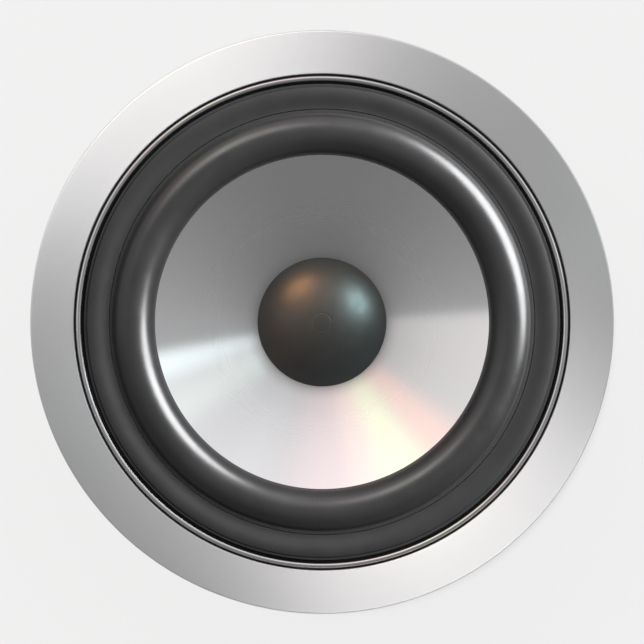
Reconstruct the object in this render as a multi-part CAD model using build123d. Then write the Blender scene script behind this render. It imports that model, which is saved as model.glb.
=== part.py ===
from build123d import *

# Twelve-inch car subwoofer speaker, lying on its magnet with the cone facing +Z.
# The origin is the centre of the mounting bolt circle, on the plane where the rear of the
# frame's flange seats on the baffle. What stands behind the baffle is below zero.
# All sizes are millimetres. "radius" values are from the speaker's axis unless said otherwise.

import os
from math import cos, radians, sin, sqrt, tan

# ---- Driving sizes ------------------------------------------------------------------------

# Frame flange and its mounting holes
frame_radius = 156.0
flange_thickness = 5.0
flange_width = 24.0             # flange front face, from the frame's edge in to the surround's step
baffle_overlap = 15.5           # flange's reach beyond the edge of the baffle cut-out
cutout_clearance = 1.0
bolt_count = 8
bolt_edge_distance = 6.5        # from the frame's edge in to the bolt circle
bolt_hole_radius = 2.8

# Frame casting behind the flange
frame_wall = 4.0
skirt_depth = 13.0              # straight wall inside the cut-out
spoke_count = 6
spoke_width = 18.0
rib_width = 5.0
rib_tip_depth = 4.0
shelf_thickness = 4.0
pocket_rise = 1.5               # frame's wall above the spider's lip
window_margin = 4.0             # skirt left outside the windows
motor_seat_thickness = 5.0
motor_seat_inner_radius = 48.0
vent_width = 16.0
vent_height = 4.5
vent_angle = 17.0               # each vent's angle from the middle of a window
frame_edge_rounding = 0.8

# Trim ring that snaps over the flange, and its clips
trim_overhang = 4.0             # beyond the frame's edge
trim_height = 12.5              # front face above the baffle
trim_wall = 1.6
trim_width = 23.8               # of the visible flat face
trim_baffle_gap = 0.5
trim_edge_rounding = 1.0
clip_count = 8
clip_width = 12.0
clip_thickness = 0.5
clip_gap = 0.25                 # between a clip's bow and the frame's edge

# Polished bead inside the trim ring
bead_trim_gap = 1.1
bead_width = 2.9
bead_height = 7.2

# Surround, its seat and the gasket on it
seat_width = 15.3
seat_depth = 2.0                # seat below the flange's front face
seat_thickness = 4.5
lip_thickness = 1.2
lip_gap = 0.6
roll_radius = 12.2              # outer surface of the half roll
roll_wall = 1.4
roll_gap = 0.15                 # roll's outer foot inside the seat
inner_lip_width = 8.0
roll_foot_angle = 35.0          # up the roll, where its thick outer edge flares from it
roll_foot_fillet = 0.6
gasket_gap = 1.5                # from the bead's inner side to the gasket
gasket_rise = 1.1               # crest above the gasket's inner edge
gasket_crest_inset = 5.2        # crest's distance from the gasket's outer edge
gasket_arch_radius = 13.0       # outward of the crest

# Cone and dust cap
cone_edge_gap = 0.1
cone_edge_rise = 0.9            # cone's edge above the middle of the surround's lip
cone_depth = 37.3
cone_wall = 0.9
cone_collar_height = 8.0
dust_cap_margin = 3.45          # from the former out to the dust cap's edge
dust_cap_height = 15.5
dust_cap_wall = 0.9
cap_mark_radius = 5.2
cap_mark_width = 0.5
cap_mark_depth = 0.25

# Voice coil
coil_bore_radius = 31.75
former_wall = 0.6
former_rise = 1.5               # former above the foot of the cone
former_tail = 2.0               # former below the windings
winding_layer = 0.9
travel = 12.0                   # each way from rest

# Spider and its landing ring
spider_gap = 0.4
spider_collar_height = 5.0
spider_collar_wall = 0.9
spider_radius = 86.0
spider_wall = 1.0
spider_flat_inner = 4.0
spider_lip_width = 8.0
spider_wave_count = 8
spider_wave_height = 2.6
landing_ring_height = 3.0
landing_ring_width = 10.0
spider_frame_gap = 1.0

# Motor
motor_clearance = 5.5           # spider collar to top plate, at full inward travel
gap_height = 10.0               # thickness of the top plate
plate_inset = 1.0               # plates' edge inside the magnets' edge
coil_clearance = 0.7            # windings to top plate
pole_clearance = 0.45           # former to pole
pole_rise = 2.0                 # pole above the top plate
magnet_radius = 78.0
magnet_inner_radius = 44.0
magnet_thickness = 21.0
magnet_count = 2
back_plate_thickness = 10.0
back_plate_chamfer = 1.5
spigot_radius = 26.0
vent_bore_radius = 12.0
shorting_ring_wall = 1.5
shorting_ring_height = 24.0
shorting_ring_drop = 3.0        # below the top plate
boot_wall = 4.0
boot_groove_count = 5
boot_groove_width = 3.0
boot_groove_depth = 1.0
boot_end_gap = 1.0
mesh_radius = 14.5
mesh_thickness = 0.8
mesh_recess = 3.0
mesh_hole_radius = 1.0
mesh_pitch = 2.8
motor_bolt_count = 6
motor_bolt_circle_radius = 60.0
motor_bolt_radius = 2.5
motor_bolt_head_radius = 4.25
motor_bolt_head_height = 5.0
motor_bolt_depth = 8.0          # thread in the top plate
motor_bolt_socket_radius = 2.2
motor_bolt_clearance = 0.25

# Spring terminals: X is outward, Y is along the pair of buttons
pad_depth = 2.0
pad_margin = 0.7
terminal_depth = 18.0
terminal_width = 30.0
terminal_height = 20.0
terminal_spacing = 15.0         # between the two buttons
tab_height = 7.0
tab_thickness = 3.0
well_margin = 4.7               # well's inner side behind the housing's back face
well_depth = 18.0
well_length = 9.3
well_width = 9.5
button_clearance = 0.2
button_stem_length = 14.1
button_travel = 3.0
button_stop_gap = 0.3
button_head_height = 3.2
button_head_overhang = 2.0
button_rounding = 0.7
wire_hole_radius = 1.9
wire_hole_depth = 6.5           # below the housing's top
spring_radius = 2.8
spring_wire_radius = 0.35
spring_turns = 4
contact_thickness = 0.8
contact_width = 5.0
contact_height = 13.0
contact_cover = 1.5             # housing above the contact's tail
lug_height = 4.8
lead_clearance = 6.0            # contact's tail above the spider's lip
lug_overlap = 2.0               # lug inside the spider's edge
terminal_screw_spacing = 22.0
terminal_screw_radius = 1.25
terminal_screw_depth = 5.0
terminal_screw_head_radius = 2.7
terminal_screw_head_height = 1.8
terminal_screw_slot = 0.8
terminal_screw_clearance = 0.3

# Tinsel leads
lead_radius = 1.0
lead_arch = 4.0                 # middle of a lead above the straight line between its ends
lead_entry = 1.5                # lead's end past the collar's surface, cut to the collar

# ---- Sizes that follow --------------------------------------------------------------------

bolt_circle_radius = frame_radius - bolt_edge_distance
cutout_radius = frame_radius - baffle_overlap
skirt_radius = cutout_radius - cutout_clearance
seat_outer_radius = frame_radius - flange_width
seat_inner_radius = seat_outer_radius - seat_width
seat_z = flange_thickness - seat_depth

trim_outer_radius = frame_radius + trim_overhang
trim_inner_radius = trim_outer_radius - trim_width
bead_outer_radius = trim_inner_radius - bead_trim_gap
bead_inner_radius = bead_outer_radius - bead_width

lip_top_z = seat_z + lip_thickness
roll_base_z = seat_z + lip_thickness / 2
roll_middle_radius = seat_inner_radius - roll_gap - roll_radius
roll_foot_reach = (roll_radius + roll_foot_fillet) * cos(radians(roll_foot_angle))
roll_foot_rise = (roll_radius + roll_foot_fillet) * sin(radians(roll_foot_angle))
roll_edge_z = roll_base_z + roll_foot_rise - roll_foot_fillet
cone_radius = roll_middle_radius - roll_radius - cone_edge_gap
cone_edge_z = roll_base_z + cone_edge_rise

former_radius = coil_bore_radius + former_wall
dust_cap_radius = former_radius + dust_cap_margin
cone_slope = cone_depth / (cone_radius - former_radius)
cone_drop = cone_wall * sqrt(1 + cone_slope ** 2)       # cone wall, measured along the axis
cone_foot_z = cone_edge_z - cone_depth
collar_z = cone_foot_z - cone_collar_height
collar_radius = former_radius + cone_wall

spider_top_z = collar_z - spider_gap
spider_z = spider_top_z - spider_collar_height / 2
spider_low_z = spider_top_z - spider_collar_height
landing_top_z = spider_z - spider_wall / 2
shelf_z = landing_top_z - landing_ring_height
pocket_radius = spider_radius + spider_frame_gap
lower_wall_radius = pocket_radius + frame_wall + 1.0

motor_z = spider_low_z - travel - motor_clearance
top_plate_low_z = motor_z - gap_height
motor_seat_z = motor_z + motor_seat_thickness
back_plate_top_z = top_plate_low_z - magnet_count * magnet_thickness
rear_z = back_plate_top_z - back_plate_thickness
pole_radius = coil_bore_radius - pole_clearance
plate_radius = magnet_radius - plate_inset
windings_radius = former_radius + 2 * winding_layer
plate_bore_radius = windings_radius + coil_clearance
winding_top_z = motor_z + travel
winding_low_z = top_plate_low_z - travel

terminal_x = lower_wall_radius + pad_depth
tail_z = spider_z + spider_wall / 2 + lead_clearance
terminal_top_z = tail_z + contact_thickness + contact_cover
terminal_low_z = terminal_top_z - terminal_height
tab_low_z = terminal_low_z - tab_height
well_x = terminal_x + well_margin
well_low_z = terminal_top_z - well_depth
wire_z = terminal_top_z - wire_hole_depth
stem_x = well_x + contact_thickness + button_clearance
stem_size = well_length - contact_thickness - 2 * button_clearance
stem_top_z = terminal_top_z + button_travel + button_stop_gap
stem_low_z = stem_top_z - button_stem_length
stem_middle_x = stem_x + stem_size / 2
lug_x = spider_radius - lug_overlap


def cone_front_z(radius):
    """Height of the cone's front surface."""
    return cone_edge_z - (cone_radius - radius) * cone_slope


# ---- Shape helpers ------------------------------------------------------------------------

def turned(profile):
    """A solid turned about the speaker's axis from a face drawn as (radius, height)."""
    return revolve(Plane.XZ * profile, axis=Axis.Z)


def outline(*points):
    return make_face(Polyline(*points, close=True))


def ring(outer, inner, low, high):
    return Pos(0, 0, low) * extrude(Circle(outer) - Circle(inner), amount=high - low)


def disc(radius, low, high):
    return Pos(0, 0, low) * extrude(Circle(radius), amount=high - low)


def block(low, high):
    """A box between two corners."""
    size = [b - a for a, b in zip(low, high)]
    middle = [(a + b) / 2 for a, b in zip(low, high)]
    return Pos(*middle) * Box(*size)


def around(shape, count, start=0.0):
    """Copies of a shape, evenly spaced about the axis."""
    return [Rot(0, 0, start + 360 * index / count) * shape for index in range(count)]


def round_edges(body, radius, height):
    """The circular edges of a body with this radius, at this height."""
    return [edge for edge in body.edges().filter_by(GeomType.CIRCLE)
            if abs(edge.radius - radius) < 0.01 and abs(edge.center().Z - height) < 0.01]


def rod_along_x(radius, low_x, high_x, y, z):
    face = Plane.YZ.offset(low_x) * Pos(y, z) * Circle(radius)
    return extrude(face, amount=high_x - low_x)


# ---- Frame --------------------------------------------------------------------------------

pocket_top_z = spider_z + spider_wall / 2 + pocket_rise
skirt_inner_radius = skirt_radius - frame_wall
wall_slope = (-skirt_depth - pocket_top_z) / (skirt_inner_radius - pocket_radius)
wall_drop = frame_wall * sqrt(1 + wall_slope ** 2)
bolt_start_angle = 180 / bolt_count
motor_bolt_start_angle = 180 / motor_bolt_count
spoke_start_angle = 180 / spoke_count
terminal_angles = {"right": 0.0, "left": 180.0}


def wall_outer_z(radius):
    """Height of the outer side of the frame's sloping wall."""
    return pocket_top_z + (radius - pocket_radius) * wall_slope - wall_drop


def terminal_screw_points():
    return [(side * terminal_screw_spacing / 2, tab_low_z + tab_height / 2) for side in (-1, 1)]


def make_basket():
    shelf_inner_radius = spider_radius - landing_ring_width
    lower_inner_radius = pocket_radius - 1
    body = turned(outline(
        (frame_radius, flange_thickness),
        (seat_outer_radius, flange_thickness),
        (seat_outer_radius, seat_z),
        (seat_inner_radius, seat_z),
        (seat_inner_radius, seat_z - seat_thickness),
        (skirt_inner_radius, seat_z - seat_thickness),
        (skirt_inner_radius, -skirt_depth),
        (pocket_radius, pocket_top_z),
        (pocket_radius, shelf_z),
        (shelf_inner_radius, shelf_z),
        (shelf_inner_radius, shelf_z - shelf_thickness),
        (lower_inner_radius, shelf_z - shelf_thickness),
        (lower_inner_radius, motor_seat_z),
        (motor_seat_inner_radius, motor_seat_z),
        (motor_seat_inner_radius, motor_z),
        (lower_wall_radius, motor_z),
        (lower_wall_radius, wall_outer_z(lower_wall_radius)),
        (skirt_radius, wall_outer_z(skirt_radius)),
        (skirt_radius, 0),
        (frame_radius, 0),
    ))
    body = fillet(round_edges(body, frame_radius, flange_thickness), frame_edge_rounding)
    body -= windows()
    body += ribs()
    body += [Rot(0, 0, angle) * terminal_pad() for angle in terminal_angles.values()]
    body -= around(vent(), spoke_count, vent_angle)
    body -= around(vent(), spoke_count, -vent_angle)
    bolt_hole = Pos(bolt_circle_radius, 0) * disc(bolt_hole_radius, -1, flange_thickness + 1)
    body -= around(bolt_hole, bolt_count, bolt_start_angle)
    motor_hole_radius = motor_bolt_radius + motor_bolt_clearance
    motor_hole = Pos(motor_bolt_circle_radius, 0) * disc(motor_hole_radius, motor_z - 1, motor_seat_z + 1)
    body -= around(motor_hole, motor_bolt_count, motor_bolt_start_angle)
    for angle in terminal_angles.values():
        for y, z in terminal_screw_points():
            hole = rod_along_x(terminal_screw_radius, terminal_x - terminal_screw_depth, terminal_x, y, z)
            body -= Rot(0, 0, angle) * hole
    return body


def windows():
    """The open sectors of the sloping wall, between the spokes."""
    low = shelf_z
    high = seat_z - seat_thickness
    sector = ring(skirt_inner_radius - window_margin, lower_wall_radius - 1, low, high)
    spoke = block((0, -spoke_width / 2, low), (skirt_radius, spoke_width / 2, high))
    return sector - around(spoke, spoke_count, spoke_start_angle)


def ribs():
    """A gusset under each spoke, from the frame's lower wall up to its skirt."""
    tip_radius = skirt_radius - 1
    foot_radius = lower_wall_radius - 1
    face = outline(
        (foot_radius, motor_z + rib_tip_depth / 2),
        (lower_wall_radius + rib_tip_depth / 2, motor_z + rib_tip_depth / 2),
        (tip_radius, wall_outer_z(tip_radius) - rib_tip_depth),
        (tip_radius, wall_outer_z(tip_radius) + frame_wall / 2),
        (foot_radius, wall_outer_z(foot_radius) + frame_wall / 2),
    )
    rib = extrude(Plane.XZ * face, amount=rib_width / 2, both=True)
    return around(rib, spoke_count, spoke_start_angle)


def vent():
    """A cooling slot through the lower wall."""
    middle_z = (shelf_z - shelf_thickness + motor_seat_z) / 2
    return block((pocket_radius - frame_wall, -vent_width / 2, middle_z - vent_height / 2),
                 (lower_wall_radius + 1, vent_width / 2, middle_z + vent_height / 2))


def terminal_pad():
    """Flat boss on the lower wall that a terminal is screwed to."""
    return block((pocket_radius, -terminal_width / 2, tab_low_z - pad_margin),
                 (terminal_x, terminal_width / 2, shelf_z - pad_margin))


# ---- Trim ---------------------------------------------------------------------------------

def make_trim_ring():
    skirt_inner = trim_outer_radius - trim_wall
    rim_outer = trim_inner_radius + trim_wall
    under_z = trim_height - trim_wall
    body = turned(outline(
        (trim_inner_radius, flange_thickness),
        (trim_inner_radius, trim_height),
        (trim_outer_radius, trim_height),
        (trim_outer_radius, trim_baffle_gap),
        (skirt_inner, trim_baffle_gap),
        (skirt_inner, under_z),
        (rim_outer, under_z),
        (rim_outer, flange_thickness),
    ))
    body = fillet(round_edges(body, trim_outer_radius, trim_height), trim_edge_rounding)
    return chamfer(round_edges(body, trim_inner_radius, trim_height), trim_wall / 3)


def make_trim_clips():
    """Spring tabs on the inside of the trim ring's skirt, bowed in to the frame's edge."""
    back = trim_outer_radius - trim_wall
    bow = frame_radius + clip_gap
    low_z = trim_baffle_gap + 1
    bow_z = flange_thickness / 2 + 1
    high_z = trim_height - trim_wall - 1
    face = outline(
        (back, high_z),
        (back - clip_thickness, high_z),
        (back - clip_thickness, flange_thickness + 1),
        (bow, bow_z),
        (back - clip_thickness, low_z),
        (back, low_z),
        (bow + clip_thickness, bow_z),
        (back, flange_thickness + 1),
    )
    clip = extrude(Plane.XZ * face, amount=clip_width / 2, both=True)
    clip &= disc(back, 0, trim_height)
    return Compound(children=around(clip, clip_count))


def make_bead_ring():
    """Polished bead between the trim ring and the gasket."""
    crown_z = flange_thickness + bead_height
    shoulder_z = crown_z - bead_width / 2
    middle = (bead_inner_radius + bead_outer_radius) / 2
    profile = make_face([
        Line((bead_inner_radius, flange_thickness), (bead_outer_radius, flange_thickness)),
        Line((bead_outer_radius, flange_thickness), (bead_outer_radius, shoulder_z)),
        ThreePointArc((bead_outer_radius, shoulder_z), (middle, crown_z), (bead_inner_radius, shoulder_z)),
        Line((bead_inner_radius, shoulder_z), (bead_inner_radius, flange_thickness)),
    ])
    return turned(profile)


# ---- Surround and gasket ------------------------------------------------------------------

def make_front_gasket():
    """Rubber ring whose top rises from the surround's edge to a crest near the bead."""
    outer = bead_inner_radius - gasket_gap
    inner = seat_inner_radius + roll_gap
    crest = outer - gasket_crest_inset
    crest_z = roll_edge_z + gasket_rise
    arch_z = crest_z - gasket_arch_radius
    half_inset = gasket_crest_inset / 2
    middle_z = arch_z + sqrt(gasket_arch_radius ** 2 - half_inset ** 2)
    outer_z = arch_z + sqrt(gasket_arch_radius ** 2 - gasket_crest_inset ** 2)
    halfway = (inner + crest) / 2
    profile = make_face([
        Line((inner, lip_top_z), (outer, lip_top_z)),
        Line((outer, lip_top_z), (outer, outer_z)),
        ThreePointArc((outer, outer_z), (outer - half_inset, middle_z), (crest, crest_z)),
        Bezier((crest, crest_z), (halfway, crest_z), (halfway, roll_edge_z), (inner, roll_edge_z)),
        Line((inner, roll_edge_z), (inner, lip_top_z)),
    ])
    return turned(profile)


def make_surround():
    """Rubber half roll with a flat outer lip and an inner lip glued behind the cone's edge."""
    middle = roll_middle_radius
    inside = roll_radius - roll_wall
    outer_lip = seat_outer_radius - lip_gap
    lip_inner = cone_radius - inner_lip_width
    roll = make_face([
        ThreePointArc((middle - roll_radius, roll_base_z), (middle, roll_base_z + roll_radius),
                      (middle + roll_radius, roll_base_z)),
        Line((middle + roll_radius, roll_base_z), (middle + inside, roll_base_z)),
        ThreePointArc((middle + inside, roll_base_z), (middle, roll_base_z + inside),
                      (middle - inside, roll_base_z)),
        Line((middle - inside, roll_base_z), (middle - roll_radius, roll_base_z)),
    ])
    seat_lip = outline((middle + inside, seat_z), (outer_lip, seat_z), (outer_lip, lip_top_z),
                       (middle + inside, lip_top_z))
    half_wall = roll_radius - roll_wall / 2
    flare = CenterArc((middle + roll_foot_reach, roll_base_z + roll_foot_rise), roll_foot_fillet,
                      180 + roll_foot_angle, 90 - roll_foot_angle)
    edge = make_face([
        flare,
        Polyline(flare @ 1, (middle + roll_radius, roll_edge_z), (middle + roll_radius, roll_base_z),
                 (middle + half_wall, roll_base_z)),
        CenterArc((middle, roll_base_z), half_wall, 0, roll_foot_angle),
        Line((middle + half_wall * cos(radians(roll_foot_angle)),
              roll_base_z + half_wall * sin(radians(roll_foot_angle))), flare @ 0),
    ])
    lip_drop = lip_thickness * sqrt(1 + cone_slope ** 2)
    cone_lip = outline(
        (cone_radius, cone_edge_z - cone_drop),
        (middle - roll_radius, roll_base_z),
        (middle - inside, roll_base_z),
        (middle - inside, roll_base_z - lip_thickness),
        (lip_inner, cone_front_z(lip_inner) - cone_drop - lip_drop),
        (lip_inner, cone_front_z(lip_inner) - cone_drop),
    )
    return turned(roll + edge + seat_lip + cone_lip)


# ---- Cone and dust cap --------------------------------------------------------------------

def make_cone():
    return turned(outline(
        (cone_radius, cone_edge_z),
        (former_radius, cone_foot_z),
        (former_radius, collar_z),
        (collar_radius, collar_z),
        (collar_radius, cone_front_z(collar_radius) - cone_drop),
        (cone_radius, cone_edge_z - cone_drop),
    ))


def make_dust_cap():
    """Spherical dome whose edge stands on the cone, with a fine ring pressed in its middle."""
    edge_z = cone_front_z(dust_cap_radius)
    apex_z = edge_z + dust_cap_height
    inner_radius = dust_cap_radius - dust_cap_wall * 1.4
    inner_edge_z = cone_front_z(inner_radius)
    sphere = (dust_cap_radius ** 2 + dust_cap_height ** 2) / (2 * dust_cap_height)
    middle = dust_cap_radius / 2
    middle_z = apex_z - sphere + sqrt(sphere ** 2 - middle ** 2)
    inner_height = apex_z - dust_cap_wall - inner_edge_z
    inner_sphere = (inner_radius ** 2 + inner_height ** 2) / (2 * inner_height)
    inner_middle_z = apex_z - dust_cap_wall - inner_sphere + sqrt(inner_sphere ** 2 - middle ** 2)
    profile = make_face([
        ThreePointArc((dust_cap_radius, edge_z), (middle, middle_z), (0, apex_z)),
        Line((0, apex_z), (0, apex_z - dust_cap_wall)),
        ThreePointArc((0, apex_z - dust_cap_wall), (middle, inner_middle_z), (inner_radius, inner_edge_z)),
        Line((inner_radius, inner_edge_z), (dust_cap_radius, edge_z)),
    ])
    mark = ring(cap_mark_radius, cap_mark_radius - cap_mark_width, apex_z - dust_cap_wall / 2, apex_z + 1)
    mark_floor = apex_z - sphere + sqrt(sphere ** 2 - cap_mark_radius ** 2) - cap_mark_depth
    mark &= disc(cap_mark_radius + 1, mark_floor, apex_z + 1)
    return turned(profile) - mark


# ---- Voice coil and spider ----------------------------------------------------------------

def make_former():
    return ring(former_radius, coil_bore_radius, winding_low_z - former_tail, cone_foot_z + former_rise)


def make_winding(layer):
    """One of the two voice coils, wound one over the other."""
    inner = former_radius + layer * winding_layer
    return ring(inner + winding_layer, inner, winding_low_z, winding_top_z)


def make_spider():
    """Corrugated suspension disc with a collar on the former and a flat lip outside."""
    half = spider_wall / 2
    collar_outer = former_radius + spider_collar_wall
    wave_start = collar_outer + spider_flat_inner
    wave_end = spider_radius - spider_lip_width
    pitch = (wave_end - wave_start) / spider_wave_count
    sides = [
        Polyline((collar_outer, spider_low_z), (collar_outer, spider_z - half),
                 (wave_start, spider_z - half)),
        Polyline((collar_outer, spider_low_z), (former_radius, spider_low_z), (former_radius, spider_top_z),
                 (collar_outer, spider_top_z)),
        Polyline((collar_outer, spider_top_z), (collar_outer, spider_z + half),
                 (wave_start, spider_z + half)),
        Polyline((wave_end, spider_z - half), (spider_radius, spider_z - half),
                 (spider_radius, spider_z + half), (wave_end, spider_z + half)),
    ]
    for index in range(spider_wave_count):
        near = wave_start + index * pitch
        far = near + pitch
        wave = spider_wave_height if index % 2 else -spider_wave_height
        for face_z in (spider_z - half, spider_z + half):
            sides.append(ThreePointArc((near, face_z), ((near + far) / 2, face_z + wave), (far, face_z)))
    return turned(make_face([edge for side in sides for edge in side.edges()]))


def make_landing_ring():
    return ring(spider_radius, spider_radius - landing_ring_width, shelf_z, landing_top_z)


# ---- Motor --------------------------------------------------------------------------------

def make_top_plate():
    body = ring(plate_radius, plate_bore_radius, top_plate_low_z, motor_z)
    hole = Pos(motor_bolt_circle_radius, 0) * disc(motor_bolt_radius, motor_z - motor_bolt_depth, motor_z)
    return body - around(hole, motor_bolt_count, motor_bolt_start_angle)


def make_magnet(index):
    high = top_plate_low_z - index * magnet_thickness
    return ring(magnet_radius, magnet_inner_radius, high - magnet_thickness, high)


def make_back_plate():
    body = ring(plate_radius, spigot_radius, rear_z, back_plate_top_z)
    return chamfer(round_edges(body, plate_radius, rear_z), back_plate_chamfer)


def make_pole_piece():
    """Vented pole with a step for the shorting ring and a spigot pressed in the back plate."""
    ring_top = top_plate_low_z - shorting_ring_drop
    ring_low = ring_top - shorting_ring_height
    body = disc(pole_radius, back_plate_top_z, motor_z + pole_rise)
    body += disc(spigot_radius, rear_z, back_plate_top_z)
    body -= disc(vent_bore_radius, rear_z, motor_z + pole_rise)
    body -= disc(mesh_radius, rear_z, rear_z + mesh_recess)
    body -= ring(pole_radius, pole_radius - shorting_ring_wall, ring_low, ring_top)
    return body


def make_shorting_ring():
    ring_top = top_plate_low_z - shorting_ring_drop
    return ring(pole_radius, pole_radius - shorting_ring_wall, ring_top - shorting_ring_height, ring_top)


def make_magnet_boot():
    """Rubber sleeve round the magnets, with grooves round it."""
    low = rear_z + boot_end_gap
    high = motor_z - boot_end_gap
    body = ring(magnet_radius + boot_wall, magnet_radius, low, high)
    outside = magnet_radius + boot_wall
    body = fillet(round_edges(body, outside, low) + round_edges(body, outside, high), boot_wall / 3)
    step = (high - low) / (boot_groove_count + 1)
    for index in range(boot_groove_count):
        middle = low + step * (index + 1)
        body -= ring(magnet_radius + boot_wall + 1, magnet_radius + boot_wall - boot_groove_depth,
                     middle - boot_groove_width / 2, middle + boot_groove_width / 2)
    return body


def make_vent_mesh():
    high = rear_z + mesh_recess
    reach = mesh_radius - mesh_pitch
    count = int(2 * reach / mesh_pitch) + 1
    sheet = Circle(mesh_radius)
    holes = [place * Circle(mesh_hole_radius) for place in HexLocations(mesh_pitch / 2, count, count)
             if place.position.length < reach]
    return Pos(0, 0, high - mesh_thickness) * extrude(sheet - holes, amount=mesh_thickness)


def make_motor_bolts():
    head_top = motor_seat_z + motor_bolt_head_height
    bolt = disc(motor_bolt_radius, motor_z - motor_bolt_depth, motor_seat_z)
    bolt += disc(motor_bolt_head_radius, motor_seat_z, head_top)
    socket = extrude(RegularPolygon(motor_bolt_socket_radius, 6), amount=motor_bolt_head_height)
    bolt -= Pos(0, 0, motor_seat_z + motor_bolt_head_height / 2) * socket
    placed = Pos(motor_bolt_circle_radius, 0) * bolt
    return Compound(children=around(placed, motor_bolt_count, motor_bolt_start_angle))


# ---- Spring terminals ---------------------------------------------------------------------

button_middles = {"red": terminal_spacing / 2, "black": -terminal_spacing / 2}


def make_terminal_housing():
    half = terminal_width / 2
    outer_x = terminal_x + terminal_depth
    body = block((terminal_x, -half, terminal_low_z), (outer_x, half, terminal_top_z))
    body = fillet(body.edges().filter_by(Axis.Z).group_by(Axis.X)[-1], button_rounding * 2)
    body += block((terminal_x, -half, tab_low_z), (terminal_x + tab_thickness, half, terminal_low_z))
    for middle in button_middles.values():
        body -= block((well_x, middle - well_width / 2, well_low_z),
                      (well_x + well_length, middle + well_width / 2, terminal_top_z + 1))
        body -= rod_along_x(wire_hole_radius, well_x, outer_x + 1, middle, wire_z)
        body -= contact(middle)
    for y, z in terminal_screw_points():
        body -= rod_along_x(terminal_screw_radius + terminal_screw_clearance, terminal_x - 1,
                            terminal_x + tab_thickness + 1, y, z)
    return body


def contact(middle):
    """Brass strip in the well, with a tail to the inside of the frame and a turned-up lug."""
    tail_top = tail_z + contact_thickness
    low_y = middle - contact_width / 2
    high_y = middle + contact_width / 2
    body = block((well_x, low_y, tail_top - contact_height), (well_x + contact_thickness, high_y, tail_top))
    body += block((lug_x, low_y, tail_z), (well_x, high_y, tail_top))
    body += block((lug_x - contact_thickness, low_y, tail_z), (lug_x, high_y, tail_z + lug_height))
    return body


def make_contacts():
    return Compound(children=[contact(middle) for middle in button_middles.values()])


def make_button(middle):
    """Push button: a stem in the well with a cross hole for the wire, and a wide head."""
    well_half = well_width / 2 - button_clearance
    head_half = well_half + button_head_overhang
    far_x = stem_x + stem_size
    body = block((stem_x, middle - well_half, stem_low_z), (far_x, middle + well_half, stem_top_z))
    head = block((stem_x - button_head_overhang, middle - head_half, stem_top_z),
                 (far_x + button_head_overhang, middle + head_half, stem_top_z + button_head_height))
    head = fillet(head.edges().group_by(Axis.Z)[-1] + head.edges().filter_by(Axis.Z), button_rounding)
    hole = rod_along_x(wire_hole_radius, stem_x - 1, far_x + 1, middle, wire_z + button_travel)
    return body + head - hole


def make_button_spring(middle):
    height = stem_low_z - well_low_z - 2 * spring_wire_radius
    path = Helix(pitch=height / spring_turns, height=height, radius=spring_radius)
    section = Plane(origin=path @ 0, z_dir=path % 0) * Circle(spring_wire_radius)
    coil = sweep(section, path=path, is_frenet=True)
    coil = Pos(stem_middle_x, middle, well_low_z + spring_wire_radius) * coil
    return coil


def make_terminal_screws():
    screws = []
    face_x = terminal_x + tab_thickness
    head_x = face_x + terminal_screw_head_height
    slot_half = terminal_screw_slot / 2
    for angle in terminal_angles.values():
        for y, z in terminal_screw_points():
            screw = rod_along_x(terminal_screw_radius, terminal_x - terminal_screw_depth, face_x, y, z)
            screw += rod_along_x(terminal_screw_head_radius, face_x, head_x, y, z)
            slot = block((head_x - terminal_screw_head_height / 2, y - terminal_screw_head_radius,
                          z - slot_half),
                         (head_x + 1, y + terminal_screw_head_radius, z + slot_half))
            screws.append(Rot(0, 0, angle) * (screw - slot))
    return Compound(children=screws)


def bend_radii(points):
    """Each bend as large as its two runs allow."""
    radii = []
    for before, here, after in zip(points, points[1:], points[2:]):
        arriving = here - before
        leaving = after - here
        turn = arriving.get_angle(leaving)
        shorter = min(arriving.length, leaving.length)
        radii.append(0.45 * shorter / tan(radians(turn) / 2))
    return radii


def make_tinsel_lead(middle):
    """Braided lead from a terminal's lug, arching over the spider to the cone's collar."""
    start = Vector(lug_x - contact_thickness, middle, tail_z + contact_thickness + lug_height / 2)
    collar_x = sqrt(collar_radius ** 2 - middle ** 2)
    end = Vector(collar_x - lead_entry, middle, (cone_foot_z + collar_z) / 2)
    span = end - start
    points = [start]
    for run, drop, rise in ((0.16, 0.0, 0.0), (0.36, 0.0, 0.8), (0.6, 0.2, 1.0), (0.82, 0.7, 0.4)):
        points.append(start + Vector(span.X * run, 0, span.Z * drop + lead_arch * rise))
    points.append(end)
    path = FilletPolyline(*points, radius=bend_radii(points))
    section = Plane(origin=start, z_dir=Vector(path % 0)) * Circle(lead_radius)
    lead = sweep(section, path=path)
    return lead - disc(collar_radius, shelf_z, cone_edge_z)


# ---- All pieces ---------------------------------------------------------------------------

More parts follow.
